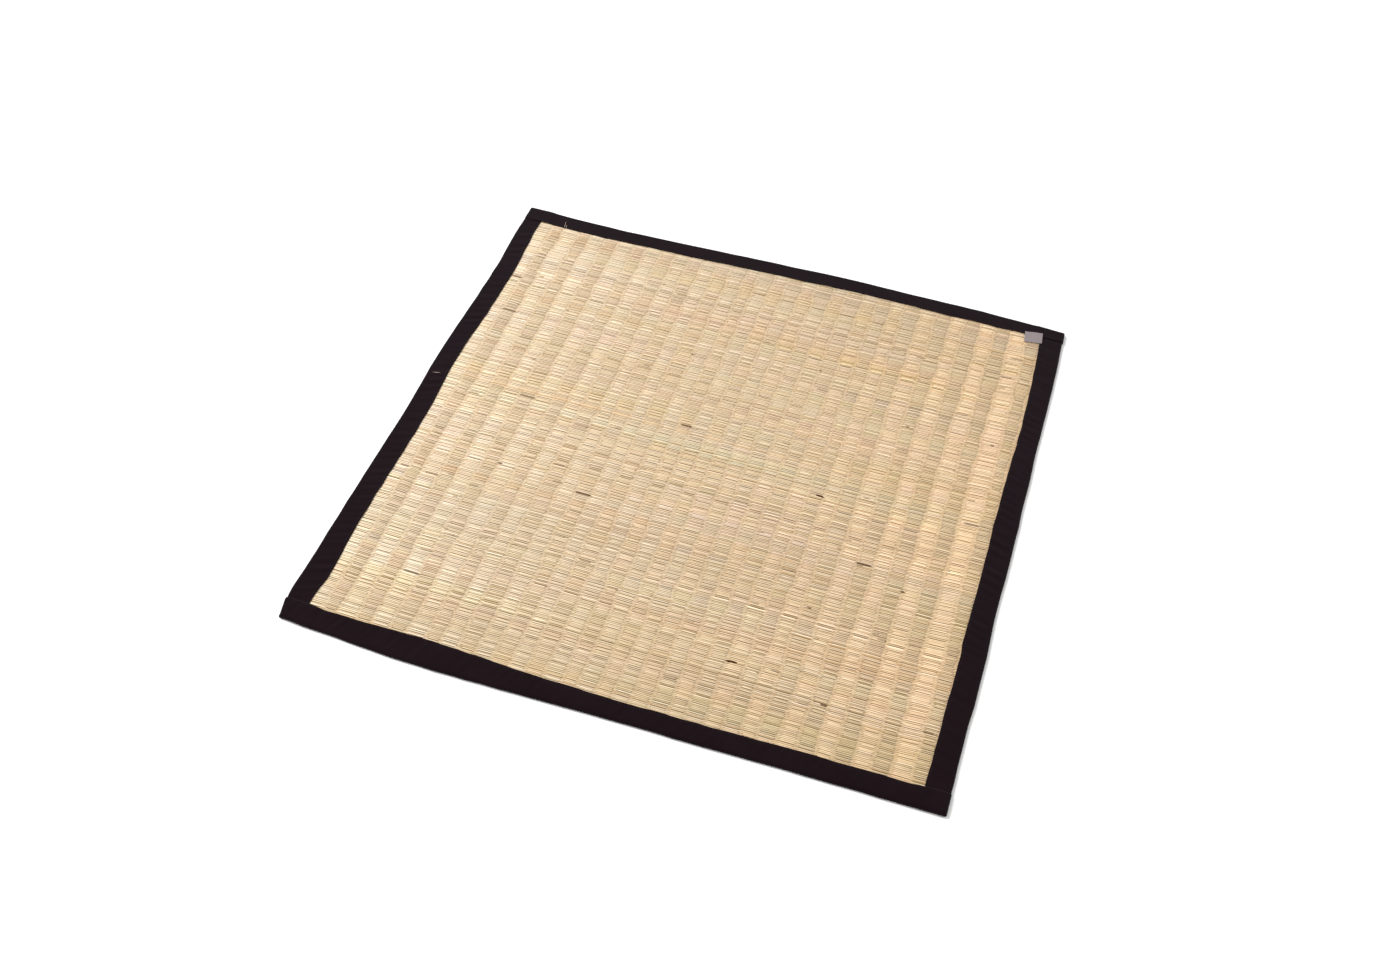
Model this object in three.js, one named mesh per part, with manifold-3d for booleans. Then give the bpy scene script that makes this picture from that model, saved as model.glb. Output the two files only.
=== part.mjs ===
// A square tatami yoga mat, lying flat: a panel of woven rush, bound on its four edges with folded
// cotton tape, and a small bare label. Millimetres, +Z up, resting on z = 0.
// X runs along the straws and Y along the warps. The far edge is at +Y and the near edge at -Y.

import * as THREE from "three";
import { mergeVertices } from "three/addons/utils/BufferGeometryUtils.js";
import Module from "manifold-3d";

const wasm = await Module();
wasm.setup();

const { clamp, lerp, smoothstep } = THREE.MathUtils;

// Driving dimensions
const SIDE = 900; // nominal side of the bound mat
const GAP = 0.3; // between pieces that touch
const RUSH_THICKNESS = 3.2; // of the panel at the crown of a rib
const RIB_DEPTH = 0.5; // from the crown of a rib down to the crossing beside it
const RIB_PITCH = 24.2;
const RIB_COUNT = 35;
const ROOT_SPREAD = 2.4; // how far a crossing at the left edge is pushed aside by thick root ends
const TAPE_THICKNESS = 1.0;
const TAPE_WIDTH = 30; // nominal width of tape that shows
const END_ROOM = 1.0; // between a side tape's fold and the closed end of the tape that crosses it
const LABEL_WIDTH = 27.5;
const LABEL_LENGTH = 21.5;
const LABEL_THICKNESS = 1.0;
const LABEL_PLACE = { x: 405.3, y: 419.2, turn: THREE.MathUtils.degToRad(6) };

// The four edges as they lie. Along is the place on the edge from its middle, in +X or +Y. Bow is how
// far the fold lies outside a true square there, and width is how much of the tape shows on the face.
const EDGES = {
  far: [
    { along: -450, bow: -3.9, width: 30.4 },
    { along: -330, bow: -7.3, width: 29.5 },
    { along: -290, bow: -7.2, width: 30.0 },
    { along: -250, bow: -6.7, width: 27.8 },
    { along: -170, bow: -4.1, width: 28.8 },
    { along: -10, bow: 1.9, width: 28.9 },
    { along: 110, bow: 5.0, width: 29.0 },
    { along: 190, bow: 3.8, width: 26.5 },
    { along: 230, bow: 3.6, width: 28.2 },
    { along: 330, bow: 3.4, width: 28.8 },
    { along: 450, bow: -2.5, width: 23.0 },
  ],
  near: [
    { along: -450, bow: -3.3, width: 33.0 },
    { along: -370, bow: 2.1, width: 34.9 },
    { along: -250, bow: 7.0, width: 40.5 },
    { along: -130, bow: 5.6, width: 34.3 },
    { along: -10, bow: 2.9, width: 28.9 },
    { along: 110, bow: 2.2, width: 29.5 },
    { along: 250, bow: 0.1, width: 30.5 },
    { along: 450, bow: -0.5, width: 31.5 },
  ],
  left: [
    { along: -450, bow: 0.2, width: 33.0 },
    { along: -430, bow: 4.4, width: 33.5 },
    { along: -416, bow: 7.2, width: 34.5 },
    { along: -400, bow: 8.0, width: 35.5 },
    { along: -370, bow: 6.0, width: 39.0 },
    { along: -320, bow: 5.6, width: 35.0 },
    { along: -250, bow: 5.3, width: 33.2 },
    { along: -50, bow: 2.6, width: 34.2 },
    { along: 70, bow: 4.7, width: 31.0 },
    { along: 190, bow: 1.1, width: 32.9 },
    { along: 290, bow: -1.5, width: 31.9 },
    { along: 390, bow: 0.7, width: 30.1 },
    { along: 410, bow: 0.4, width: 29.8 },
    { along: 425, bow: -1.4, width: 29.6 },
    { along: 450, bow: -0.9, width: 29.5 },
  ],
  right: [
    { along: -450, bow: 0.0, width: 35.0 },
    { along: -330, bow: 0.6, width: 33.7 },
    { along: -230, bow: 3.0, width: 35.2 },
    { along: -150, bow: 1.2, width: 33.8 },
    { along: -60, bow: 2.0, width: 33.4 },
    { along: 20, bow: 2.7, width: 35.2 },
    { along: 170, bow: 2.2, width: 32.0 },
    { along: 270, bow: 2.9, width: 31.8 },
    { along: 390, bow: 1.9, width: 34.8 },
    { along: 450, bow: 0.6, width: 36.5 },
  ],
};

// The label lies over the inner edges of the far and right tapes, and comes down onto the rush. Right and
// up are the signs of a corner on it, and height is its underside there.
const LABEL_CORNERS = [
  { right: -1, up: -1, height: 4.9 },
  { right: 1, up: -1, height: 6.5 },
  { right: -1, up: 1, height: 6.8 },
  { right: 1, up: 1, height: 8.2 },
];

// Where each edge lies: quarter turns from the near edge, and the way its drawn length runs.
const EDGE_TURNS = {
  near: { quarters: 0, heading: 1 },
  right: { quarters: 1, heading: 1 },
  far: { quarters: 2, heading: -1 },
  left: { quarters: 3, heading: -1 },
};

// Sizes that follow
const HALF = SIDE / 2;
const LAYER = TAPE_THICKNESS + GAP; // rise over one layer of tape
const FOLD_HEIGHT = 2 * LAYER + RUSH_THICKNESS;
const FOLD_RADIUS = FOLD_HEIGHT / 2;
const TUCK = FOLD_RADIUS + GAP; // from the fold to the edge of what lies in it
const END_CAP = HALF + END_ROOM; // inner face of the closed end of a far or near tape

// Distances in from a true edge, where layers rise over each other and settle again
const LIFT_FULL = 40; // a tape has risen over the tape that it crosses
const LIFT_START = 50;
const MARGIN = 46; // the rush lies on the tape's lower leg
const NOTCH_END = 61; // the rush has come down from the crossed tapes of a corner
const SETTLED = 76; // the rush lies on the floor
const PULL_FULL = 46; // all within this moves with the bow of its edge
const PULL_END = 130;

const RIB_CUTS = 4; // points across one rib
const PRESSED = 0.7; // share of a rib's depth that is pressed out under the tape
const ARC_CUTS = 2; // a fold's half circle has twice as many sides
const TAPE_STEP = 33; // between sections of a tape
const LABEL_CUTS = 3; // parts along each side of the label

// The value of one column at a place along an edge, on a smooth curve through the rows.
function edgeAt(side, along, column) {
  const rows = EDGES[side];
  const last = rows.length - 1;
  let i = 0;
  while (i < last - 1 && rows[i + 1].along < along) i += 1;
  const slope = (k) => {
    const a = rows[Math.max(k - 1, 0)];
    const b = rows[Math.min(k + 1, last)];
    return (b[column] - a[column]) / (b.along - a.along);
  };
  const span = rows[i + 1].along - rows[i].along;
  const t = clamp((along - rows[i].along) / span, 0, 1);
  const rise = t * t * (3 - 2 * t);
  const ease = t * (1 - t) * span;
  const straight = lerp(rows[i][column], rows[i + 1][column], rise);
  return straight + ease * ((1 - t) * slope(i) - t * slope(i + 1));
}

// Where a point of the true square lies on the uneven mat.
function asLaid(x, y) {
  const pull = (side, along, inward) =>
    edgeAt(side, along, "bow") * (1 - smoothstep(inward, PULL_FULL, PULL_END));
  return {
    x: x + pull("right", y, HALF - x) - pull("left", y, HALF + x),
    y: y + pull("far", x, HALF - y) - pull("near", x, HALF + y),
  };
}

// Moves every point of a geometry by a function that sets a vector's own coordinates.
function reshape(geometry, move) {
  const position = geometry.getAttribute("position");
  const point = new THREE.Vector3();
  for (let i = 0; i < position.count; i += 1) {
    point.fromBufferAttribute(position, i);
    move(point);
    position.setXYZ(i, point.x, point.y, point.z);
  }
  geometry.computeVertexNormals();
  return geometry;
}

// A section extruded through numbered stations: the depth of a point is its station's number.
function extrudeStations(section, count) {
  return new THREE.ExtrudeGeometry(section, {
    depth: count - 1,
    steps: count - 1,
    bevelEnabled: false,
    curveSegments: ARC_CUTS,
  });
}

function solidOf(geometry) {
  const bare = new THREE.BufferGeometry();
  bare.setAttribute("position", geometry.getAttribute("position"));
  const merged = mergeVertices(bare);
  return new wasm.Manifold(
    new wasm.Mesh({
      numProp: 3,
      vertProperties: merged.getAttribute("position").array,
      triVerts: merged.index.array,
    }),
  );
}

function geometryOf(solid) {
  const { vertProperties, triVerts } = solid.getMesh();
  const geometry = new THREE.BufferGeometry();
  geometry.setAttribute("position", new THREE.BufferAttribute(vertProperties, 3));
  geometry.setIndex(new THREE.BufferAttribute(triVerts, 1));
  geometry.computeVertexNormals();
  return geometry;
}

// The crossing between two ribs, where the straws of one go under and those of the other come up. Each
// rib lies over a warp. Towards the left edge every other rib is wide with root ends.
function crossingAt(k) {
  const x = (k - RIB_COUNT / 2) * RIB_PITCH;
  const side = k % 2 ? 1 : -1;
  return x + side * ROOT_SPREAD * smoothstep(-x, HALF / 4, HALF);
}

// Heights of the rush: 1 where it lies in the tapes, 0 where it lies on the floor.
function marginShare(x, y) {
  const inner = (inward) => smoothstep(inward, MARGIN, SETTLED);
  return 1 - inner(HALF - Math.abs(x)) * inner(HALF - Math.abs(y));
}

// 1 over the crossed lower legs of a corner, 0 elsewhere.
function notchShare(x, y) {
  const near = (inward) => 1 - smoothstep(inward, MARGIN, NOTCH_END);
  return near(HALF - Math.abs(x)) * near(HALF - Math.abs(y));
}

// The rush is cut straight, and its edge lies in the fold where the tape bows in the most.
function cutEdge(side) {
  return HALF + Math.min(...EDGES[side].map((row) => row.bow)) - TUCK;
}

// Places across the rush where its layers change height, from the edge at high to the edge at low.
function rushStations(high, low) {
  const ledges = [MARGIN, NOTCH_END, SETTLED].map((inward) => HALF - inward);
  return [high, ...ledges, ...ledges.toReversed().map((place) => -place), -low];
}

// The woven panel. Its section is drawn with height 0 underneath, and 1 to 2 across a rib on top.
function rushField() {
  const section = new THREE.Shape();
  section.moveTo(-cutEdge("left"), 1);
  for (let cut = 0; cut <= RIB_COUNT * RIB_CUTS; cut += 1) {
    const rib = Math.min(Math.floor(cut / RIB_CUTS), RIB_COUNT - 1);
    const across = cut / RIB_CUTS - rib;
    const crown = Math.sqrt(Math.abs(Math.sin(across * Math.PI)));
    section.lineTo(lerp(crossingAt(rib), crossingAt(rib + 1), across), 1 + crown);
  }
  section.lineTo(cutEdge("right"), 1);
  for (const x of rushStations(cutEdge("right"), cutEdge("left"))) section.lineTo(x, 0);
  section.closePath();

  const stations = rushStations(cutEdge("far"), cutEdge("near"));
  return reshape(extrudeStations(section, stations.length), (point) => {
    const height = point.y;
    point.y = stations[Math.round(point.z)];
    const margin = marginShare(point.x, point.y);
    const underneath = height < 0.5;
    if (underneath) {
      point.z = LAYER * (margin + notchShare(point.x, point.y));
    } else {
      const dip = (2 - height) * RIB_DEPTH * (1 - PRESSED * margin);
      point.z = RUSH_THICKNESS + LAYER * margin - dip;
    }
  });
}

// A fold seen along its edge, drawn in from the fold and up from the floor.
function foldSection(inset, reach) {
  const section = new THREE.Shape();
  section.moveTo(reach, inset);
  section.lineTo(reach, FOLD_HEIGHT - inset);
  section.lineTo(FOLD_RADIUS, FOLD_HEIGHT - inset);
  section.absarc(FOLD_RADIUS, FOLD_RADIUS, FOLD_RADIUS - inset, Math.PI / 2, 1.5 * Math.PI, false);
  section.closePath();
  return section;
}

// Sections of a tape: at its ends, through the rises near them, and evenly between.
function tapeStations(end) {
  const rises = [LIFT_FULL, (LIFT_FULL + LIFT_START) / 2, LIFT_START];
  const start = HALF - LIFT_START;
  const steps = Math.round((2 * start) / TAPE_STEP);
  const between = Array.from({ length: steps - 1 }, (_, i) => lerp(-start, start, (i + 1) / steps));
  const nearEnd = [end, HALF - LIFT_FULL / 2, ...rises.map((inward) => HALF - inward)];
  return [...nearEnd.map((s) => -s), ...between, ...nearEnd.toReversed()];
}

// One folded form along an edge. Far and near tapes rise with their upper leg over the side tapes,
// and side tapes rise with their lower leg over the far and near tapes.
function foldedForm(side, inset, reach, end) {
  const { quarters, heading } = EDGE_TURNS[side];
  const crosses = side === "far" || side === "near";
  const stations = tapeStations(end);
  const up = new THREE.Vector3(0, 0, 1);
  return reshape(extrudeStations(foldSection(inset, reach), stations.length), (point) => {
    const s = stations[Math.round(point.z)];
    const stretch = (edgeAt(side, heading * s, "width") - FOLD_RADIUS) / (TAPE_WIDTH - FOLD_RADIUS);
    const inward = point.x > FOLD_RADIUS ? FOLD_RADIUS + (point.x - FOLD_RADIUS) * stretch : point.x;
    const height = point.y;
    const upper = clamp((height - TAPE_THICKNESS) / (FOLD_HEIGHT - 2 * TAPE_THICKNESS), 0, 1);
    const lift = LAYER * (1 - smoothstep(HALF - Math.abs(s), LIFT_FULL, LIFT_START));
    point.set(s, inward - HALF, height + lift * (crosses ? upper : 1 - upper));
    point.applyAxisAngle(up, (quarters * Math.PI) / 2);
    const place = asLaid(point.x, point.y);
    point.x = place.x;
    point.y = place.y;
  });
}

// A side tape is open at its ends, which lie inside the far and near tapes. Those are closed there.
function tape(side) {
  const crosses = side === "far" || side === "near";
  const end = crosses ? END_CAP + TAPE_THICKNESS : HALF - TUCK;
  const cavityEnd = crosses ? END_CAP : HALF;
  const whole = solidOf(foldedForm(side, 0, TAPE_WIDTH, end));
  const cavity = solidOf(foldedForm(side, TAPE_THICKNESS, TAPE_WIDTH + MARGIN - LIFT_FULL, cavityEnd));
  return geometryOf(whole.subtract(cavity));
}

function label() {
  const flat = new THREE.BoxGeometry(
    LABEL_WIDTH, LABEL_LENGTH, LABEL_THICKNESS, LABEL_CUTS, LABEL_CUTS, 1,
  );
  return reshape(flat, (point) => {
    const u = (2 * point.x) / LABEL_WIDTH;
    const v = (2 * point.y) / LABEL_LENGTH;
    let under = 0;
    for (const corner of LABEL_CORNERS) {
      under += (corner.height * (1 + corner.right * u) * (1 + corner.up * v)) / 4;
    }
    point.z += under + LABEL_THICKNESS / 2;
  });
}

const RUSH = new THREE.MeshStandardMaterial({ color: 0xd8c094, roughness: 0.62, metalness: 0 });
const COTTON = new THREE.MeshStandardMaterial({ color: 0x1f181d, roughness: 0.9, metalness: 0 });
const LABEL_CLOTH = new THREE.MeshStandardMaterial({ color: 0x9d949b, roughness: 0.8, metalness: 0 });

function piece(name, geometry, material) {
  const mesh = new THREE.Mesh(geometry, material);
  mesh.name = name;
  return mesh;
}

const mat = new THREE.Group();
mat.add(piece("rush_field", rushField(), RUSH));
for (const side of Object.keys(EDGE_TURNS)) {
  mat.add(piece(`tape_${side}`, tape(side), COTTON));
}
const sewnLabel = piece("label", label(), LABEL_CLOTH);
sewnLabel.position.set(LABEL_PLACE.x, LABEL_PLACE.y, 0);
sewnLabel.rotation.z = LABEL_PLACE.turn;
mat.add(sewnLabel);

// The origin is under the middle of the mat as it lies.
const middle = new THREE.Box3().setFromObject(mat).getCenter(new THREE.Vector3());
mat.position.set(-middle.x, -middle.y, 0);

export default mat;
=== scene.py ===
"""The looks of a square tatami yoga mat: woven rush straws, a folded cotton binding and a bare label."""

import math

import bpy
import numpy as np
from mathutils import Matrix, Vector
from mathutils.bvhtree import BVHTree


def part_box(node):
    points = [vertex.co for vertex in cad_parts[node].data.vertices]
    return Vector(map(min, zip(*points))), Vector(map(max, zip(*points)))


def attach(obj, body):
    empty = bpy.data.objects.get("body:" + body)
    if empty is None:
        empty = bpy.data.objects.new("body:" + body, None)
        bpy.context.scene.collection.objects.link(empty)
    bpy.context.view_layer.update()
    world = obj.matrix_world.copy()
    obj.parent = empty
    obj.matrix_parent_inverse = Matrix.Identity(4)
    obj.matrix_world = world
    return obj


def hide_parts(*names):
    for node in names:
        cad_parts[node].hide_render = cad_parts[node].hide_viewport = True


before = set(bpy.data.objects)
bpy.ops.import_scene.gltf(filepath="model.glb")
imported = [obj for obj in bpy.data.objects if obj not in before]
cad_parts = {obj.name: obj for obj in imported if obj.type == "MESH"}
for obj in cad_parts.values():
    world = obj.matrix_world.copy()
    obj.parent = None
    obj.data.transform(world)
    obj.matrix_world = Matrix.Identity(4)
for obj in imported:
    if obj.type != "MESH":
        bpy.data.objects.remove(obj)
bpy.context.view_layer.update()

MM = 0.001
FULL_TURN = 2 * math.pi
SEED = 7

# The mat as it lies. Distances inward are from the edge of a true square.
HALF = 450 * MM  # of that square's side
MIDDLE = (2.96 * MM, 1.12 * MM)  # of that square, in the part's frame
RUSH_THICKNESS = 3.2 * MM
LAYER = 1.3 * MM  # rise over one layer of tape
MARGIN = 46 * MM  # the rush lies on the tape's lower leg
NOTCH_END = 61 * MM  # the rush has come down from the crossed tapes of a corner
SETTLED = 76 * MM  # the rush lies on the floor
LIFT_FULL = 40 * MM  # a tape has risen over the tape that it crosses
LIFT_START = 50 * MM


def smoothstep(value, low, high):
    share = np.clip((value - low) / (high - low), 0.0, 1.0)
    return share * share * (3.0 - 2.0 * share)


def bell(reach):
    steps = np.arange(-3 * reach, 3 * reach + 1)
    return np.exp(-0.5 * (steps / reach) ** 2)


def smooth_noise(rng, shape, reach):
    """Noise of unit spread, smooth over about reach steps of its first axis."""
    kernel = bell(reach)
    kernel /= math.sqrt((kernel**2).sum())
    raw = rng.standard_normal((shape[0] + len(kernel) - 1, *shape[1:]))
    return np.apply_along_axis(lambda column: np.convolve(column, kernel, "valid"), 0, raw)


def smoothed(values, reach):
    kernel = bell(reach)
    padded = np.pad(np.array(values), len(kernel) // 2, mode="reflect", reflect_type="odd")
    return np.convolve(padded, kernel / kernel.sum(), "valid")


def run_numbers(rng, count, mean_length):
    """The number of the run that each of count neighbours belongs to."""
    return np.cumsum(rng.random(count) < 1.0 / mean_length)


# Meshes from arrays

PROBE_HEIGHT = 50 * MM  # above all of the mat


def mesh_object(name, points, faces, material):
    """A smooth object from points and a list of face arrays, with its faces pointing out."""
    points = np.asarray(points, float).reshape(-1, 3)
    volume = 0.0
    for group in faces:
        first = points[group[:, 0]]
        for k in range(1, group.shape[1] - 1):
            volume += np.einsum("ij,ij", first, np.cross(points[group[:, k]], points[group[:, k + 1]]))
    if volume < 0:
        faces = [group[:, ::-1] for group in faces]
    corners = np.concatenate([group.ravel() for group in faces])
    sizes = np.concatenate([np.full(len(group), group.shape[1]) for group in faces])
    mesh = bpy.data.meshes.new(name)
    mesh.vertices.add(len(points))
    mesh.vertices.foreach_set("co", points.astype(np.float32).ravel())
    mesh.loops.add(len(corners))
    mesh.loops.foreach_set("vertex_index", corners.astype(np.int32))
    mesh.polygons.add(len(sizes))
    mesh.polygons.foreach_set("loop_start", (np.cumsum(sizes) - sizes).astype(np.int32))
    mesh.update(calc_edges=True)
    mesh.validate()
    mesh.shade_smooth()
    mesh.materials.append(material)
    piece = bpy.data.objects.new(name, mesh)
    bpy.context.scene.collection.objects.link(piece)
    return piece


def ring_angles(sides, first):
    return first + np.arange(sides) * FULL_TURN / sides


def tube_faces(tubes, stations, sides):
    """Faces of tubes whose points are numbered by tube, station and side, with closed ends."""
    number = np.arange(tubes * stations * sides).reshape(tubes, stations, sides)
    around = np.roll(number, -1, axis=2)
    quads = np.stack([number[:, :-1], around[:, :-1], around[:, 1:], number[:, 1:]], -1)
    ends = np.concatenate([number[:, 0, ::-1], number[:, -1]])
    return [quads.reshape(-1, 4), ends]


def sheet_solid(name, middle, half_thickness, material):
    """A thin closed sheet around a grid of middle points, thick along Z."""
    rows, columns = middle.shape[:2]
    up = np.array([0, 0, 1.0]) * np.broadcast_to(half_thickness, (rows, columns))[..., None]
    points = np.concatenate([(middle + up).reshape(-1, 3), (middle - up).reshape(-1, 3)])
    number = np.arange(rows * columns).reshape(rows, columns)
    top = np.stack([number[:-1, :-1], number[1:, :-1], number[1:, 1:], number[:-1, 1:]], -1).reshape(-1, 4)
    under = rows * columns
    rim = np.concatenate([number[0, :-1], number[:-1, -1], number[-1, :0:-1], number[:0:-1, 0]])
    after = np.roll(rim, -1)
    walls = np.stack([rim, after, after + under, rim + under], -1)
    return mesh_object(name, points, [top, top[:, ::-1] + under, walls], material)


def set_tones(piece, tones):
    """Gives each point of a piece of straw its colour."""
    layer = piece.data.attributes.new("straw_tone", "FLOAT_COLOR", "POINT")
    layer.data.foreach_set("color", np.asarray(tones, np.float32).ravel())


def tree_of(piece):
    shape = piece.data
    return BVHTree.FromPolygons([v.co for v in shape.vertices], [p.vertices for p in shape.polygons])


def height_on(tree, place):
    """Where a line straight down at a place meets a form, or else the floor."""
    hit = tree.ray_cast(Vector((*place, PROBE_HEIGHT)), Vector((0, 0, -1)))[0]
    return hit.z if hit else 0.0


# Materials. Grain is how many times a noise repeats in a metre along each axis.

RUSH_STREAK = {"grain": (26, 1100, 1100), "share": 0.35, "dark": (0.55, 0.52, 0.48, 1),
               "light": (1.4, 1.4, 1.4, 1)}
RUSH_DASH = {"grain": (75, 420, 420), "dark": (0.92, 0.91, 0.89, 1), "light": (1.08, 1.09, 1.10, 1)}
# the middle sheet's dark straw colour: warp threads, and painted shade where it shows in the gaps between
# straws
WARP_FIBRE_AND_SHADE = {"grain": (300, 900, 300), "dark": (0.22, 0.15, 0.08, 1), "light": (0.42, 0.31, 0.18, 1)}
TWILL = {"turn": math.radians(35), "scale": 320.0, "dark": (0.0041, 0.0014, 0.0024, 1),
         "light": (0.0095, 0.0039, 0.0063, 1)}
COTTON_DUST = {"grain": (14, 14, 14), "most": 0.45, "tone": (0.0102, 0.0047, 0.0071, 1)}
COTTON_LINT = {"grain": (700, 700, 700), "most": 0.5, "tone": (0.0139, 0.0083, 0.0108, 1)}
THREAD_PLY = {"grain": (900, 900, 900), "dark": (0.006, 0.004, 0.005, 1), "light": (0.020, 0.014, 0.017, 1)}
LABEL_RIB = {"turn": math.radians(-6), "scale": 420.0, "dark": (0.145, 0.117, 0.122, 1),
             "light": (0.243, 0.203, 0.212, 1)}
LABEL_SLUB = {"grain": (160, 900, 300), "most": 0.6, "tone": (0.28, 0.243, 0.252, 1)}


class Look:
    """A material and the nodes that give it its look."""

    def __init__(self, name, **values):
        self.material = bpy.data.materials.new(name)
        self.material.use_nodes = True
        self.nodes = self.material.node_tree.nodes
        self.shader = self.nodes["Principled BSDF"]
        for socket, value in values.items():
            self.shader.inputs[socket.replace("_", " ")].default_value = value

    def feed(self, socket, value):
        """Joins another node's output to a socket, or sets the socket's own value."""
        if isinstance(value, bpy.types.NodeSocket):
            self.material.node_tree.links.new(value, socket)
        else:
            socket.default_value = value

    def show(self, name, output):
        self.feed(self.shader.inputs[name], output)

    def node(self, kind, inputs=None, **settings):
        made = self.nodes.new("ShaderNode" + kind)
        for key, value in settings.items():
            setattr(made, key, value)
        for socket, value in (inputs or {}).items():
            self.feed(made.inputs[socket], value)
        return made

    def tone(self):
        return self.node("Attribute", attribute_name="straw_tone").outputs["Color"]

    def place(self, scale, turn=0.0):
        """Coordinates in metres in the part's frame, scaled along each axis."""
        coordinates = self.node("TexCoord").outputs["Object"]
        sockets = {"Vector": coordinates, "Scale": scale, "Rotation": (0, 0, turn)}
        return self.node("Mapping", sockets).outputs["Vector"]

    def noise(self, grain, detail=2.0):
        sockets = {"Vector": self.place(grain), "Scale": 1.0, "Detail": detail}
        return self.node("TexNoise", sockets).outputs["Fac"]

    def wave(self, row, direction, **sockets):
        """Fine parallel lines, such as those of a woven cloth."""
        sockets = {"Vector": self.place((1, 1, 1), row["turn"]), "Scale": row["scale"], **sockets}
        return self.node("TexWave", sockets, bands_direction=direction).outputs["Fac"]

    def ranged(self, value, low, high, start=0.0, end=1.0):
        sockets = {"Value": value, "From Min": start, "From Max": end, "To Min": low, "To Max": high}
        return self.node("MapRange", sockets).outputs["Result"]

    def mix(self, share, first, second, blend="MIX"):
        mixed = self.node("Mix", data_type="RGBA", blend_type=blend)
        for socket, value in zip((mixed.inputs[0], mixed.inputs[6], mixed.inputs[7]), (share, first, second)):
            self.feed(socket, value)
        return mixed.outputs[2]

    def shades(self, share, row):
        return self.mix(share, row["dark"], row["light"])

    def bump(self, height, strength, distance):
        sockets = {"Height": height, "Strength": strength, "Distance": distance}
        self.show("Normal", self.node("Bump", sockets).outputs["Normal"])


def rush_look():
    look = Look("rush_straw", Specular_IOR_Level=0.3)
    streak = look.noise(RUSH_STREAK["grain"], 3.0)
    streaked = look.mix(RUSH_STREAK["share"], look.tone(), look.shades(streak, RUSH_STREAK), "MULTIPLY")
    dash = look.ranged(look.noise(RUSH_DASH["grain"], 1.0), 0.0, 1.0, 0.25, 0.75)
    look.show("Base Color", look.mix(1.0, streaked, look.shades(dash, RUSH_DASH), "MULTIPLY"))
    look.show("Roughness", look.ranged(streak, 0.42, 0.62))
    look.bump(streak, 0.25, 0.15 * MM)
    return look.material


def husk_look():
    look = Look("rush_husk", Specular_IOR_Level=0.0, Roughness=0.9)
    look.show("Base Color", look.tone())
    return look.material


def warp_and_shade_look():
    look = Look("warp_threads_and_shade", Specular_IOR_Level=0.2, Roughness=0.9)
    look.show("Base Color", look.shades(look.noise(WARP_FIBRE_AND_SHADE["grain"], 3.0), WARP_FIBRE_AND_SHADE))
    return look.material


def cotton_look():
    look = Look("black_cotton", Specular_IOR_Level=0.0, Sheen_Weight=0.1, Sheen_Roughness=0.5)
    twill = look.wave(TWILL, "X", Distortion=1.2, Detail=2.0)
    lint = look.noise(COTTON_LINT["grain"], 4.0)
    worn = look.noise(COTTON_DUST["grain"], 3.0)
    dust = look.ranged(worn, 0.0, COTTON_DUST["most"], 0.45, 0.75)
    dusty = look.mix(dust, look.shades(twill, TWILL), COTTON_DUST["tone"])
    flecked = look.ranged(lint, 0.0, COTTON_LINT["most"], 0.6, 0.8)
    look.show("Base Color", look.mix(flecked, dusty, COTTON_LINT["tone"]))
    look.show("Roughness", look.ranged(lint, 0.75, 0.95))
    look.bump(twill, 0.35, 0.25 * MM)
    return look.material


def thread_look():
    look = Look("black_thread", Specular_IOR_Level=0.25, Roughness=0.6)
    look.show("Base Color", look.shades(look.noise(THREAD_PLY["grain"]), THREAD_PLY))
    return look.material


def label_look():
    look = Look("label_cloth", Specular_IOR_Level=0.3, Roughness=0.55)
    rib = look.wave(LABEL_RIB, "Y", Distortion=0.6)
    slub = look.ranged(look.noise(LABEL_SLUB["grain"], 3.0), 0.0, LABEL_SLUB["most"])
    look.show("Base Color", look.mix(slub, look.shades(rib, LABEL_RIB), LABEL_SLUB["tone"]))
    look.bump(rib, 0.4, 0.2 * MM)
    return look.material


# The weave: straws along X in two sets, each on top in every other rib

STRAW_PITCH = 1.3 * MM  # between neighbours, one of each set
STRAW_SIDES = 5
STRAW_STRIPS = 5  # meshes that the straws are shared out to
CUT_ROOM = 0.8 * MM  # from a straw to the cut edge of the panel
CROWN_HALF = {"width": 1.24 * MM, "height": 0.78 * MM}  # a straw where it lies on a face
PINCH_HALF = {"width": 0.70 * MM, "height": 1.05 * MM}  # and where it crosses to the other face
SHOULDER = 0.17  # share of a rib from its crossing to a straw's full width
GIRTH_SPREAD = {"straw": 0.07, "rib": 0.03}
GIRTH_WIDTH = (0.72, 1.14)  # the least and the most of it
GIRTH_HEIGHT = (0.8, 1.02)
ASIDE = {"straw": 0.22 * MM, "rib": 0.05 * MM}  # how far straws lie from even places
DRIFTS = [  # long waves that neighbouring straws share, and how far apart their crests are
    {"size": 0.50 * MM, "crests_x": 310 * MM, "crests_y": 900 * MM},
    {"size": 0.25 * MM, "crests_x": 83 * MM, "crests_y": 210 * MM},
]
WARP_HALF = 0.1 * MM  # thickness
WARP_STEPS = 60

# Where straws cross from one face to the other
RIB_COUNT = 35
RIB_PITCH = 24.2 * MM
RIB_SHIFT = -3.3 * MM
RIB_UNEVEN = 1.5 * MM
RIB_LEAN = 2.0 * MM  # how far a crossing at the left leans from the middle to the far edge
ROOT_SPREAD = 2.4 * MM  # how far root ends push a crossing aside at the left edge
ROOT_START = HALF / 4  # how far left of the middle that begins
RIB_SWELL = {"size": 0.9 * MM, "reach": 6}  # of all ribs of a set together, over so many straws
RIB_WANDER = {"size": 0.7 * MM, "reach": 8}  # of each line of crossings by itself
RAGGED = 0.9 * MM  # of each crossing of each straw

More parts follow.
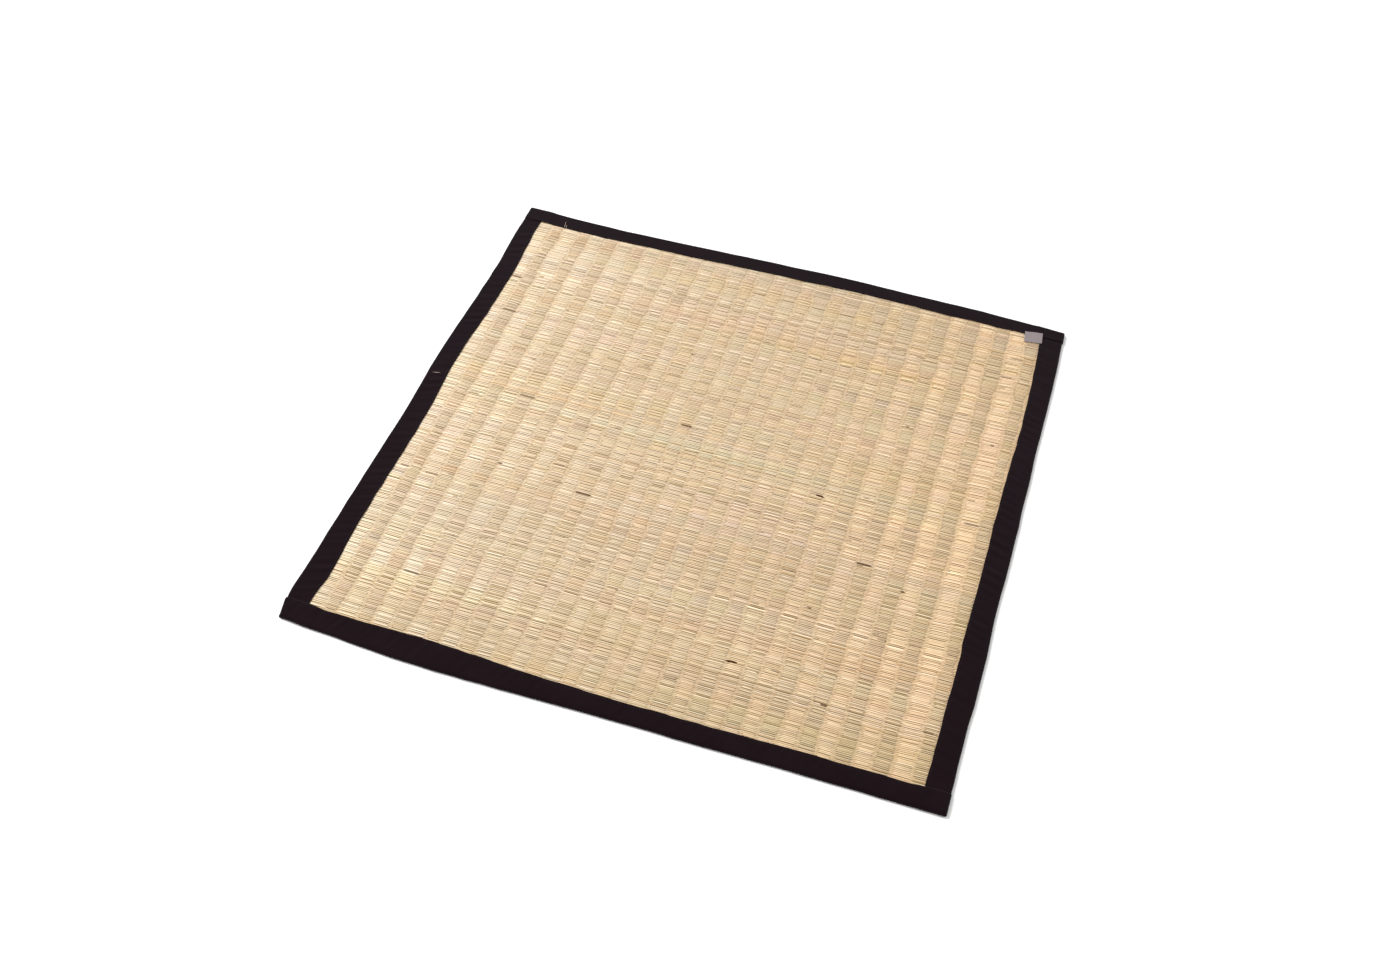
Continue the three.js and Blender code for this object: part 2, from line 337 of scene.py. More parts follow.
# Colours of the two sets of straws from left to right. Each is palest at its root end. Across is the
# place from the middle, as a share of half the mat.
SET_TONES = {
    "left_roots": [
        {"across": -0.92, "tone": (0.866, 0.687, 0.474)},
        {"across": -0.40, "tone": (0.766, 0.592, 0.392)},
        {"across": 0.05, "tone": (0.716, 0.546, 0.352)},
        {"across": 0.90, "tone": (0.650, 0.476, 0.280)},
    ],
    "right_roots": [
        {"across": -0.90, "tone": (0.714, 0.541, 0.351)},
        {"across": 0.30, "tone": (0.728, 0.546, 0.342)},
        {"across": 0.86, "tone": (0.848, 0.612, 0.376)},
    ],
}
TONE_GAIN = (0.957, 0.999, 1.062)  # for all those tones, in red, green and blue

# How straws differ. A straw keeps its tone along its length more or less: reach is in stations, and
# share is of the spread's square. A hue runs over some straws of one set, its own, or of both.
STRAW_CHANGES = [
    {"reach": 21, "share": 0.66},
    {"reach": 6, "share": 0.28},
    {"reach": 1, "share": 0.06},
]
SHADE_SPREAD = 0.090
SHADE_HUE = (0.76, 1.0, 1.38)  # a darker straw is browner
DARK_STRAW = {"from": -1.3, "gain": 0.3}  # few straws are much darker
NEIGHBOUR_SHARE = 0.28  # how much a straw differs from the next ones of its set
NEIGHBOUR_ROOM = 4  # straws at the ends that lack such a neighbour
HUES = [
    {"hue": "yellow", "own": 0.025, "shared": 0.011, "tint": (0.5, 0.1, -1.0)},
    {"hue": "green", "own": 0.0085, "shared": 0.006, "tint": (-0.6, 1.0, -0.5)},
    {"hue": "brown", "own": 0.0, "shared": 0.024, "tint": (-0.76, -1.0, -1.38)},
]
HUE_RUN = 5  # mean length of a run, in straws of one set

# What dims a straw: its girth and flecks, and painted shade on its flanks, at its crossings and along the
# near edge
FLECK = {"spread": 0.040, "reach": 3, "rounds": 2, "neighbour_share": 0.5}  # over some ribs, straw by straw
DARK_FLECK = {"from": -2.5, "gain": 0.5}
GIRTH_POWER = 0.3  # a thin straw is a little darker
FLANK_PAINTED_SHADE = 0.7  # painted shade on a straw's flanks against its crown, where its neighbours shade it
# painted shade where a straw crosses to the other face
CROSSING_PAINTED_SHADE = 0.915
DIM_POWER = (0.88, 1.0, 1.25)  # what is dim, the painted shade too, is also browner
NEAR_EDGE_PAINTED_SHADE = {"from": 295 * MM, "to": 360 * MM, "shade": (0.95, 0.945, 0.925)}  # painted shade along the near edge

# Brown husks left on straws: where the middle of each lies, in millimetres from the near left corner of
# the mat, how long it is, and how dark.
HUSKS = [
    {"x": 400, "y": 512, "length": 19, "depth": 0.80},
    {"x": 623, "y": 445, "length": 14, "depth": 1.00},
    {"x": 303, "y": 338, "length": 27, "depth": 0.80},
    {"x": 585, "y": 132, "length": 16, "depth": 1.00},
    {"x": 709, "y": 347, "length": 25, "depth": 0.85},
    {"x": 157, "y": 489, "length": 25, "depth": 0.55},
    {"x": 43, "y": 728, "length": 20, "depth": 0.50},
    {"x": 61, "y": 653, "length": 27, "depth": 0.65},
    {"x": 557, "y": 690, "length": 4, "depth": 0.60},
    {"x": 363, "y": 657, "length": 6, "depth": 0.60},
    {"x": 837, "y": 623, "length": 6, "depth": 0.55},
    {"x": 840, "y": 465, "length": 27, "depth": 0.50},
    {"x": 773, "y": 319, "length": 8, "depth": 0.75},
    {"x": 659, "y": 250, "length": 6, "depth": 0.55},
    {"x": 717, "y": 108, "length": 9, "depth": 0.75},
    {"x": 853, "y": 109, "length": 15, "depth": 0.60},
    {"x": 132, "y": 130, "length": 25, "depth": 0.62},
    {"x": 87, "y": 302, "length": 25, "depth": 0.35},
    {"x": 43, "y": 303, "length": 13, "depth": 0.40},
    {"x": 167, "y": 351, "length": 12, "depth": 0.60},
    {"x": 250, "y": 377, "length": 17, "depth": 0.40},
]
FAINT_HUSKS = {"count": 70, "place": (60, 840), "length": (5, 24), "depth": (0.12, 0.32)}  # strewn
HUSK_TONE = (0.080, 0.024, 0.004)
HUSK_FADE = 0.7  # how fast a depth below 1 pales
HUSK_BARE = SET_TONES["left_roots"][2]["tone"]  # a husk of no depth
HUSK_HALF = 1.45 * MM
HUSK_TAPER = {"stations": 9, "fullness": 1.15, "stretch": 1.96, "least": 0.12}
HUSK_RISE = 0.12 * MM
HUSK_SUNK = 0.3  # share of that rise

# Loose bits of straw that lie over a tape: from one end to the other, measured like the husks
FIBRES = [
    {"from": (69, 879), "to": (72, 861)},
    {"from": (73, 872), "to": (75, 862)},
    {"from": (5, 485), "to": (17, 487)},
]
FIBRE_HALF = 0.3 * MM
FIBRE_TAPER = {"stations": 7, "fullness": 4, "least": 0.3}
FIBRE_SIDES = 4
FIBRE_SEAT = 0.4  # how far its middle lies over what carries it, as a share of its half thickness
FIBRE_TONE = (0.68, 0.56, 0.42, 1.0)


def rush_heights(x, y):
    """The middle height of the rush and half its thickness, on the tape at its rim and else on the floor."""
    inward_x = HALF - np.abs(x - MIDDLE[0])
    inward_y = HALF - np.abs(y - MIDDLE[1])
    margin = 1 - smoothstep(inward_x, MARGIN, SETTLED) * smoothstep(inward_y, MARGIN, SETTLED)
    notch = (1 - smoothstep(inward_x, MARGIN, NOTCH_END)) * (1 - smoothstep(inward_y, MARGIN, NOTCH_END))
    low = LAYER * (margin + notch)
    high = RUSH_THICKNESS + LAYER * margin
    return (low + high) / 2, (high - low) / 2


def crossing_places(rng, y):
    """Where each straw crosses from one face to the other, a row for each straw."""
    count = len(y)
    k = np.arange(RIB_COUNT + 1)
    even = (k - RIB_COUNT / 2) * RIB_PITCH
    leftness = smoothstep(-even, ROOT_START, HALF)
    sign = np.where(k % 2, 1, -1)
    place = MIDDLE[0] + RIB_SHIFT + even + sign * ROOT_SPREAD * leftness
    place = place + rng.normal(0, RIB_UNEVEN, RIB_COUNT + 1)
    lean = RIB_LEAN * leftness * (y[:, None] / HALF)
    swell = RIB_SWELL["size"] * smooth_noise(rng, (count, 1), RIB_SWELL["reach"]) * sign
    wander = RIB_WANDER["size"] * smooth_noise(rng, (count, RIB_COUNT + 1), RIB_WANDER["reach"])
    ragged = rng.normal(0, RAGGED, (count, RIB_COUNT + 1))
    return place + lean + swell + wander + ragged


def straw_stations(crossings, low, high):
    """Places along each straw: its cut end, then each crossing and the two shoulders after it."""
    count = len(crossings)
    shares = np.array([0.0, SHOULDER, 1 - SHOULDER])
    widths = np.diff(crossings, axis=1)
    in_ribs = (crossings[:, :-1, None] + widths[:, :, None] * shares).reshape(count, -1)
    ends = np.tile([low + CUT_ROOM, high - CUT_ROOM], (count, 1))
    return np.concatenate([ends[:, :1], in_ribs, crossings[:, -1:], ends[:, 1:]], axis=1)


def per_station(in_rib, at_crossing):
    """One value for each station, from a value for the crowns of each rib."""
    count = len(in_rib)
    values = np.repeat(in_rib[:, :, None], 3, axis=2)
    values[:, :, 0] = at_crossing
    rim = np.full((count, 1), at_crossing)
    return np.concatenate([rim, values.reshape(count, -1), rim, rim], axis=1)


def straw_noise(rng, stations, count):
    """Noise of unit spread for each straw, which changes slowly along it."""
    noise = np.zeros((stations, count))
    for row in STRAW_CHANGES:
        noise += math.sqrt(row["share"]) * smooth_noise(rng, noise.shape, row["reach"])
    return noise.T


def against_neighbours(values, share):
    """Takes from each straw a share of the next ones of its set, so that it differs from them."""
    return values[2:-2] - share * (values[:-NEIGHBOUR_ROOM] + values[NEIGHBOUR_ROOM:])


def darkened(values, row):
    """Deepens the values that lie under a bound."""
    return values + row["gain"] * np.clip(values - row["from"], None, 0)


def set_tone(rows, across):
    stops = [row["across"] for row in rows]
    channels = zip(*(row["tone"] for row in rows))
    return np.stack([np.interp(across, stops, channel) for channel in channels], -1)


def straw_tones(rng, x):
    """A colour for each straw and station."""
    count, stations = x.shape
    every = np.arange(count)
    first, second = (set_tone(rows, x / HALF) for rows in SET_TONES.values())
    tones = np.where(every[:, None, None] % 2 == 0, first, second)
    shade = straw_noise(rng, stations, count + NEIGHBOUR_ROOM)
    shade = darkened(against_neighbours(shade, NEIGHBOUR_SHARE), DARK_STRAW)
    change = SHADE_SPREAD * shade[..., None] * np.array(SHADE_HUE)
    sets = (every[::2], every[1::2])
    for row in HUES:
        for members, spread in ((sets[0], row["own"]), (sets[1], row["own"]), (every, row["shared"])):
            runs = run_numbers(rng, len(members), HUE_RUN * len(members) / len(sets[0]))
            hue = straw_noise(rng, stations, runs[-1] + 1)[runs]
            change[members] += spread * hue[..., None] * np.array(row["tint"])
    return np.array(TONE_GAIN) * tones * (1 + change)


def straw_dimness(rng, girth, rest, angles):
    """How dim each point of each straw is, by colour, with painted shade on the flanks, at the crossings and
    along the near edge.
    """
    room = FLECK["rounds"] * NEIGHBOUR_ROOM
    fleck = smooth_noise(rng, (RIB_COUNT, len(rest) + room), FLECK["reach"]).T
    for _ in range(FLECK["rounds"]):
        fleck = against_neighbours(fleck, FLECK["neighbour_share"])
    fleck = darkened(fleck, DARK_FLECK)
    # thin straws and flecks are a little darker, and each crossing gets painted shade
    shade = per_station(girth**GIRTH_POWER * (1 + FLECK["spread"] * fleck), CROSSING_PAINTED_SHADE)
    # painted shade on each straw's flanks, darkest at its sides
    painted_flank_shade = FLANK_PAINTED_SHADE + (1 - FLANK_PAINTED_SHADE) * np.abs(np.sin(angles))
    dim = (shade[..., None] * painted_flank_shade)[..., None] ** np.array(DIM_POWER)
    # painted shade: the straws darken towards the near edge
    near_edge_share = smoothstep(-rest, NEAR_EDGE_PAINTED_SHADE["from"], NEAR_EDGE_PAINTED_SHADE["to"])[:, None, None, None]
    return dim * (1 - near_edge_share * (1 - np.array(NEAR_EDGE_PAINTED_SHADE["shade"])))


def husks(rng, x, y, top, material):
    """Thin husks that lie on the straws nearest to their places."""
    rows = list(HUSKS)
    for _ in range(FAINT_HUSKS["count"]):
        place = rng.uniform(*FAINT_HUSKS["place"], 2)
        length = rng.uniform(*FAINT_HUSKS["length"])
        depth = rng.uniform(*FAINT_HUSKS["depth"])
        rows.append({"x": place[0], "y": place[1], "length": length, "depth": depth})
    along = np.linspace(-0.5, 0.5, HUSK_TAPER["stations"])
    round_form = HUSK_TAPER["fullness"] * np.sqrt(1 - (HUSK_TAPER["stretch"] * along) ** 2)
    taper = HUSK_HALF * np.clip(round_form, HUSK_TAPER["least"], 1.0)
    angles = ring_angles(STRAW_SIDES, math.pi / 2)
    bare = np.array(HUSK_BARE)
    points, tones = [], []
    for row in rows:
        at = MIDDLE[0] - HALF + (row["x"] + along * row["length"]) * MM
        middle = at[len(at) // 2]
        straw_places = np.array([np.interp(middle, xs, ys) for xs, ys in zip(x, y)])
        off = straw_places - (MIDDLE[1] - HALF + row["y"] * MM)
        near = np.argsort(np.abs(off))[:2]
        straw = max(near, key=lambda i: np.interp(middle, x[i], top[i]))
        across = np.interp(at, x[straw], y[straw])[:, None] + taper[:, None] * np.cos(angles)
        height = np.interp(at, x[straw], top[straw])[:, None] + HUSK_RISE * (np.sin(angles) - HUSK_SUNK)
        points.append(np.stack([np.repeat(at[:, None], STRAW_SIDES, axis=1), across, height], -1))
        tone = bare + (np.array(HUSK_TONE) - bare) * row["depth"] ** HUSK_FADE
        tones.append(np.tile([*tone, 1.0], (len(at) * STRAW_SIDES, 1)))
    faces = tube_faces(len(rows), len(along), STRAW_SIDES)
    piece = mesh_object("rush_husks", np.array(points), faces, material)
    set_tones(piece, np.array(tones))
    return piece


def fibres(material, tapes):
    """Loose bits of straw, on the tapes and the rush beside them."""
    trees = [tree_of(tape) for tape in tapes]
    along = np.linspace(0.0, 1.0, FIBRE_TAPER["stations"])
    round_form = FIBRE_TAPER["fullness"] * along * (1 - along)
    thick = FIBRE_HALF * np.clip(round_form, FIBRE_TAPER["least"], 1.0)
    angles = ring_angles(FIBRE_SIDES, math.pi / FIBRE_SIDES)
    points = []
    for row in FIBRES:
        start, end = (MM * np.array(row[key]) - HALF + MIDDLE for key in ("from", "to"))
        plan = start + along[:, None] * (end - start)
        middle, half = rush_heights(plan[:, 0], plan[:, 1])
        height = middle + half
        for tree in trees:
            height = np.maximum(height, [height_on(tree, place) for place in plan])
        side = np.array([start[1] - end[1], end[0] - start[0]]) / np.linalg.norm(end - start)
        across = thick[:, None] * np.cos(angles)
        ring_height = height[:, None] + thick[:, None] * (np.sin(angles) + FIBRE_SEAT)
        points.append(np.concatenate([plan[:, None] + across[..., None] * side, ring_height[..., None]], -1))
    faces = tube_faces(len(FIBRES), len(along), FIBRE_SIDES)
    piece = mesh_object("rush_fibres", np.array(points), faces, material)
    set_tones(piece, np.tile(FIBRE_TONE, (len(piece.data.vertices), 1)))
    return piece


def straws(material, husk_material):
    """All straws of the panel, as a few joined meshes, and their husks."""
    rng = np.random.default_rng(SEED)
    low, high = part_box("rush_field")
    count = int((high.y - low.y - 2 * CUT_ROOM) / STRAW_PITCH)
    rest = (low.y + high.y) / 2 + (np.arange(count) - (count - 1) / 2) * STRAW_PITCH
    x = straw_stations(crossing_places(rng, rest), low.x, high.x)

    face = np.where((np.arange(count)[:, None] + np.arange(RIB_COUNT)) % 2 == 0, 1.0, -1.0)
    girth = rng.normal(1.0, GIRTH_SPREAD["straw"], (count, 1))
    girth = np.clip(girth * rng.normal(1.0, GIRTH_SPREAD["rib"], (count, RIB_COUNT)), *GIRTH_WIDTH)
    half_width = per_station(CROWN_HALF["width"] * girth, PINCH_HALF["width"])
    half_height = per_station(CROWN_HALF["height"] * np.clip(girth, *GIRTH_HEIGHT), PINCH_HALF["height"])
    rise = per_station(face, 0.0)

    aside = rng.normal(0, ASIDE["straw"], (count, 1)) + rng.normal(0, ASIDE["rib"], (count, RIB_COUNT))
    y = rest[:, None] + per_station(aside, 0.0)
    for row in DRIFTS:
        y = y + row["size"] * np.sin(FULL_TURN * (x / row["crests_x"] + rest[:, None] / row["crests_y"]))
    middle, half = rush_heights(x, y)
    flat = half / (RUSH_THICKNESS / 2)
    z = middle + rise * (half - CROWN_HALF["height"] * flat)

    angles = ring_angles(STRAW_SIDES, math.pi / 2)
    ring_y = y[..., None] + half_width[..., None] * np.cos(angles)
    ring_z = z[..., None] + (half_height * flat)[..., None] * np.sin(angles)
    ring_x = np.broadcast_to(x[..., None], ring_y.shape)
    points = np.stack([ring_x, ring_y, ring_z], -1)
    dim = straw_dimness(rng, girth, rest, angles)
    tones = straw_tones(rng, x)[:, :, None, :] * dim

    pieces = [husks(rng, x, y, z + half_height * flat, husk_material)]
    for strip, rows in enumerate(np.array_split(np.arange(count), STRAW_STRIPS)):
        faces = tube_faces(len(rows), x.shape[1], STRAW_SIDES)
        piece = mesh_object(f"rush_straws_{strip}", points[rows], faces, material)
        opaque = np.ones((*tones[rows].shape[:-1], 1))
        set_tones(piece, np.concatenate([tones[rows], opaque], -1))
        pieces.append(piece)
    return pieces


def warp_and_shade_layer(material):
    """A thin sheet at middle height, where the hidden warp threads lie between the two layers of straw, dark
    as painted shade where it shows between the straws.
    """
    low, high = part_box("rush_field")
    across = np.linspace(low.x + CUT_ROOM, high.x - CUT_ROOM, WARP_STEPS)
    along = np.linspace(low.y + CUT_ROOM, high.y - CUT_ROOM, WARP_STEPS)
    x, y = np.meshgrid(across, along, indexing="ij")
    z, _ = rush_heights(x, y)
    return sheet_solid("rush_warps_and_shade", np.stack([x, y, z], -1), WARP_HALF, material)


# The folded tapes

# Along is the axis that an edge runs along, and inward the way to the middle on the other one. Seam room is
# from a tape's end to its first stitch.
EDGES = {
    "near": {"along": 0, "inward": 1, "crosses": True, "seam_room": 14 * MM},
    "far": {"along": 0, "inward": -1, "crosses": True, "seam_room": 14 * MM},
    "left": {"along": 1, "inward": 1, "crosses": False, "seam_room": 42 * MM},
    "right": {"along": 1, "inward": -1, "crosses": False, "seam_room": 42 * MM},
}
TAPE_SEED = SEED + 10
TAPE_THICKNESS = 0.95 * MM
FOLD_HEIGHT = 5.8 * MM
TAPE_STEP = 3.0 * MM  # between sections
READ_HEIGHTS = (5.3 * MM, 5.95 * MM, 6.6 * MM)  # of a tape's upper leg, where it lies low or raised
READ_ROOM = 9.0 * MM  # from a tape's end to the first place where its lines are read
EDGE_SMOOTHING = 3  # sections
EDGE_WAVER = 0.4 * MM  # how unevenly a tape is folded and sewn
WAVER_REACH = {"edge": 3, "fold": 6}  # sections
SKEW_LENGTH = 50 * MM  # how far from a closed end its skew is felt
END_READS = 8  # places across a closed end where its skew is read
END_MIDDLE = 15 * MM  # how far in from the fold an end's place is taken
END_ROUND = 3.0 * MM  # length of the rounding at a closed end
END_SHARES = (0.0, 0.03, 0.1, 0.22, 0.4, 0.65)  # sections along that length
END_CLOSED = 0.985  # how far the rounding closes the end
END_CORNER = 0.6  # how far it rounds the fold's corner in plan, as a share of its length
END_DRAWN = 1.6 * MM  # how far a closed end is drawn in, onto the side tape's fold
LEG_SHARES = (0.10, 0.28, 0.46, 0.62, 0.76, 0.85, 0.90, 0.935, 0.965, 0.985, 1.0)  # from fold to edge
LEG_BULGE = (1.0, 1.0, 1.0, 1.0, 0.98, 0.92, 0.80, 1.05, 1.18, 0.80, 0.2)  # the hem, and the seam beside it
ARC_STEPS = 9

# How the upper leg's cloth rises and falls. Reach is in sections, and from, full and held are shares.
WAVE = {"height": 0.14 * MM, "reach": 9}
PUCKER = {"height": 0.10 * MM, "reach": 2, "from": 0.75}  # beside the seam
RIPPLE = {"height": 0.25 * MM, "step": 3.0 * MM, "reach": 1, "slant": 0.4, "full": 0.25, "held": 0.6}

# Stitches
SEAM_INSET = 2.7 * MM  # from a tape's edge to its line of stitches
SEAM_PRESS = 0.8  # the tape's thickness under its seam, as a share
STITCH_PITCH = 3.6 * MM
STITCH_LENGTH = 2.6 * MM
STITCH_HALF = 0.2 * MM
STITCH_PROUD = 0.6  # how far a stitch stands over the cloth, as a share of its half thickness
STITCH_SIDES = 4
STITCH_UNEVEN = {"along": 0.12 * MM, "across": 0.1 * MM}
STITCH_FORM = [  # along and thick are shares of a stitch's size
    {"along": -0.5, "thick": 0.25, "sunk": 0.28 * MM},
    {"along": -0.3, "thick": 1.0, "sunk": 0.06 * MM},
    {"along": 0.3, "thick": 1.0, "sunk": 0.06 * MM},
    {"along": 0.5, "thick": 0.25, "sunk": 0.28 * MM},
]


class Tape:
    """One edge's tape: the lines of its fold and its inner edge, read from the solid, and what lies on it."""

    def __init__(self, side):
        self.side = side
        self.axis = EDGES[side]["along"]
        self.inward = EDGES[side]["inward"]
        self.crosses = EDGES[side]["crosses"]
        self.tree = tree_of(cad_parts["tape_" + side])
        low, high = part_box("tape_" + side)
        self.start, self.end = low[self.axis], high[self.axis]
        self.read = np.arange(self.start + READ_ROOM, self.end - READ_ROOM, TAPE_STEP)
        folds = [self.meet_across(s, True, (FOLD_HEIGHT / 2,)) for s in self.read]
        edges = [self.meet_across(s, False, READ_HEIGHTS) for s in self.read]
        self.fold = smoothed(folds, EDGE_SMOOTHING)
        self.edge = smoothed(edges, EDGE_SMOOTHING)
        self.rng = np.random.default_rng(TAPE_SEED + list(EDGES).index(side))
        self.edge += self.waver("edge")
        self.fold += self.inward * np.abs(self.waver("fold"))
        self.skews = {}
        if self.crosses:
            self.start, self.skews[-1] = self.read_end(-1)
            self.end, self.skews[1] = self.read_end(1)

    def waver(self, line):
        return self.inward * EDGE_WAVER * smooth_noise(self.rng, (len(self.read),), WAVER_REACH[line])

    def meet(self, axis, way, origin):
        """Where a level line along an axis first meets the solid, or None."""
        direction = Vector((0, 0, 0))
        direction[axis] = way
        hit = self.tree.ray_cast(Vector(origin), direction)[0]
        return None if hit is None else hit[axis]

    def meet_across(self, s, from_outside, heights):
        """How far across the solid is met at a place along it, at the height that reaches furthest in."""
        start = -self.inward if from_outside else 0.0
        way = self.inward if from_outside else -self.inward
        origin = [start, start, 0.0]
        origin[self.axis] = s
        hits = [self.meet(1 - self.axis, way, (origin[0], origin[1], z)) for z in heights]
        return max((hit for hit in hits if hit is not None), key=lambda place: place * self.inward)

    def read_end(self, way):
        """A closed end's place, and how it skews from the fold to the inner edge."""
        fold, edge = (self.fold[0], self.edge[0]) if way < 0 else (self.fold[-1], self.edge[-1])
        inward = np.linspace(READ_ROOM / 2, abs(edge - fold) - READ_ROOM / 3, END_READS)
        origin = [way, way, FOLD_HEIGHT / 2]
        places = []
        for distance in inward:
            origin[1 - self.axis] = fold + self.inward * distance
            places.append(self.meet(self.axis, -way, origin))
        places = np.array(places) - way * END_DRAWN
        middle = float(np.interp(END_MIDDLE, inward, places))
        return middle, (inward, places - middle)

    def lines(self, s):
        """The fold's place and the tape's width at places along it."""
        fold = np.interp(s, self.read, self.fold)
        return fold, np.abs(np.interp(s, self.read, self.edge) - fold)

    def lift(self, s):
        """How far a leg has risen over the tape that it crosses."""
        inward = HALF - np.abs(s - MIDDLE[self.axis])
        return LAYER * (1 - smoothstep(inward, LIFT_FULL, LIFT_START))

    def legs(self, s):
        """Heights of the middle of the lower and upper leg."""
        low = np.full(len(s), TAPE_THICKNESS / 2)
        high = np.full(len(s), FOLD_HEIGHT - TAPE_THICKNESS / 2)
        if self.crosses:
            return low, high + self.lift(s)
        return low + self.lift(s), high

    def world(self, s, inward, z):
        """Points from places along the tape, distances in from its fold, and heights."""
        fold = self.lines(s.ravel())[0].reshape(s.shape)
        points = np.zeros((*np.broadcast_shapes(s.shape, inward.shape), 3))
        points[..., self.axis] = s
        for way, (distances, skew) in self.skews.items():
            from_end = s - self.start if way < 0 else self.end - s
            share = 1 - smoothstep(from_end, 0.0, SKEW_LENGTH)
            points[..., self.axis] += share * np.interp(inward, distances, skew)
        points[..., 1 - self.axis] = fold + self.inward * inward
        points[..., 2] = z
        return points

    def stations(self):
        inner = np.arange(self.start + END_ROUND, self.end - END_ROUND, TAPE_STEP)
        ends = END_ROUND * np.array(END_SHARES)
        return np.concatenate([self.start + ends, inner, (self.end - ends)[::-1]])

    def cloth(self, material):
        """The folded cloth: a lower leg, the fold's arc and an upper leg, thickened to both sides."""
        s = self.stations()
        _, width = self.lines(s)
        low, high = self.legs(s)
        radius = (high - low) / 2
        centre = radius + TAPE_THICKNESS / 2
        shares = np.array(LEG_SHARES)
        leg = centre[:, None] + (width - centre)[:, None] * shares
        angles = np.linspace(-math.pi / 2, math.pi / 2, ARC_STEPS)
        arc = centre[:, None] - radius[:, None] * np.cos(angles)
        arc_height = ((low + high) / 2)[:, None] + radius[:, None] * np.sin(angles)
        lower = np.repeat(low[:, None], len(shares), axis=1)
        upper = high[:, None] + self.unevenness(s, leg, shares)
        inward = np.concatenate([leg[:, ::-1], arc, leg], axis=1)
        height = np.concatenate([lower, arc_height, upper], axis=1)
        bulge = np.concatenate([LEG_BULGE[::-1], np.ones(ARC_STEPS), LEG_BULGE]) * TAPE_THICKNESS / 2
        run, climb = np.gradient(inward, axis=1), np.gradient(height, axis=1)
        length = np.hypot(run, climb)
        out_inward, out_height = -climb / length * bulge, run / length * bulge
        loop_inward = np.concatenate([inward + out_inward, (inward - out_inward)[:, ::-1]], axis=1)
        loop_height = np.concatenate([height + out_height, (height - out_height)[:, ::-1]], axis=1)
        if self.crosses:
            loop_inward, loop_height = self.close_ends(s, width, loop_inward, loop_height, (low + high) / 2)
        points = self.world(np.repeat(s[:, None], loop_inward.shape[1], axis=1), loop_inward, loop_height)
        return mesh_object("binding_" + self.side, points, self.cloth_faces(*points.shape[:2]), material)

    def unevenness(self, s, inward, shares):
        """How the upper leg's cloth rises and falls."""
        wave = WAVE["height"] * smooth_noise(self.rng, (len(s),), WAVE["reach"])[:, None]
        pucker = PUCKER["height"] * smooth_noise(self.rng, (len(s),), PUCKER["reach"])[:, None]
        at_seam = smoothstep(shares, PUCKER["from"], 1.0)
        loose = smoothstep(shares, 0.0, RIPPLE["full"]) * (1 - RIPPLE["held"] * at_seam)
        return wave * np.sin(math.pi * shares) + pucker * at_seam + self.ripples(s, inward) * loose

    def ripples(self, s, inward):
        """Slanting ripples that the sewing has drawn the cloth into."""
        places = np.arange(self.start - SKEW_LENGTH, self.end + SKEW_LENGTH, RIPPLE["step"])
        line = np.diff(smooth_noise(self.rng, (len(places) + 2,), RIPPLE["reach"]), 2)
        line *= RIPPLE["height"] / line.std()
        return np.interp(s[:, None] - RIPPLE["slant"] * inward, places, line)

    def close_ends(self, s, width, inward, height, middle):
        """Rounds the two ends of a crossing tape over, in height and in plan."""
        from_end = np.minimum(s - self.start, self.end - s)
        over = np.clip(1 - from_end / END_ROUND, 0, 1)
        shrink = np.sqrt(1 - END_CLOSED * over**2)
        height = middle[:, None] + (height - middle[:, None]) * shrink[:, None]
        corner = END_CORNER * END_ROUND * (1 - shrink)
        return inward + corner[:, None] * np.clip(1 - inward / width[:, None], 0, 1), height

    def cloth_faces(self, stations, around):
        number = np.arange(stations * around).reshape(stations, around)
        after = np.roll(number, -1, axis=1)
        skin = np.stack([number[:-1], after[:-1], after[1:], number[1:]], -1).reshape(-1, 4)
        half = around // 2
        caps = []
        for ring, turned in ((number[0], True), (number[-1], False)):
            outer, inner = ring[:half], ring[half:][::-1]
            cap = np.stack([outer[:-1], outer[1:], inner[1:], inner[:-1]], -1)
            caps.append(cap[:, ::-1] if turned else cap)
        return [skin, *caps]

    def stitches(self, material):
        """Two lines of stitches along the inner edge, on the upper and the lower face."""
        room = EDGES[self.side]["seam_room"]
        s = np.arange(self.start + room, self.end - room, STITCH_PITCH)
        s = s + self.rng.normal(0, STITCH_UNEVEN["along"], len(s))
        along = np.array([row["along"] for row in STITCH_FORM]) * STITCH_LENGTH
        thick = np.array([row["thick"] for row in STITCH_FORM]) * STITCH_HALF
        sunk = np.array([row["sunk"] for row in STITCH_FORM])
        angles = ring_angles(STITCH_SIDES, math.pi / STITCH_SIDES)
        _, width = self.lines(s)
        low, high = self.legs(s)
        place = np.repeat((s[:, None] + along)[:, :, None], STITCH_SIDES, axis=2)
        inward = width - SEAM_INSET + self.rng.normal(0, STITCH_UNEVEN["across"], len(s))
        inward = inward[:, None, None] + thick[None, :, None] * np.cos(angles)
        proud = SEAM_PRESS * TAPE_THICKNESS / 2 - sunk + STITCH_HALF * STITCH_PROUD
        rings = []
        for face, leg in ((1, high), (-1, low)):
            surface = leg[:, None] + face * proud
            height = surface[:, :, None] + thick[None, :, None] * np.sin(angles)
            rings.append(self.world(place, inward, height))
        points = np.concatenate(rings)
        faces = tube_faces(len(points), len(along), STITCH_SIDES)
        return mesh_object("seam_" + self.side, points, faces, material)


# The label

LABEL_PLACE = (405.3 * MM + MIDDLE[0], 419.2 * MM + MIDDLE[1])
LABEL_SIZE = (27.5 * MM, 21.5 * MM)
LABEL_TURN = math.radians(6)
LABEL_THICKNESS = 0.7 * MM
LABEL_STEPS = (30, 24)
LABEL_READ = 0.97  # share of its size over which its height is read from the solid
LABEL_WAVE = {"height": 0.25 * MM, "half_turns": 3, "slant": 0.2}
LABEL_RIM = {"width": 0.05, "least": 0.5}  # shares of its size and of its thickness


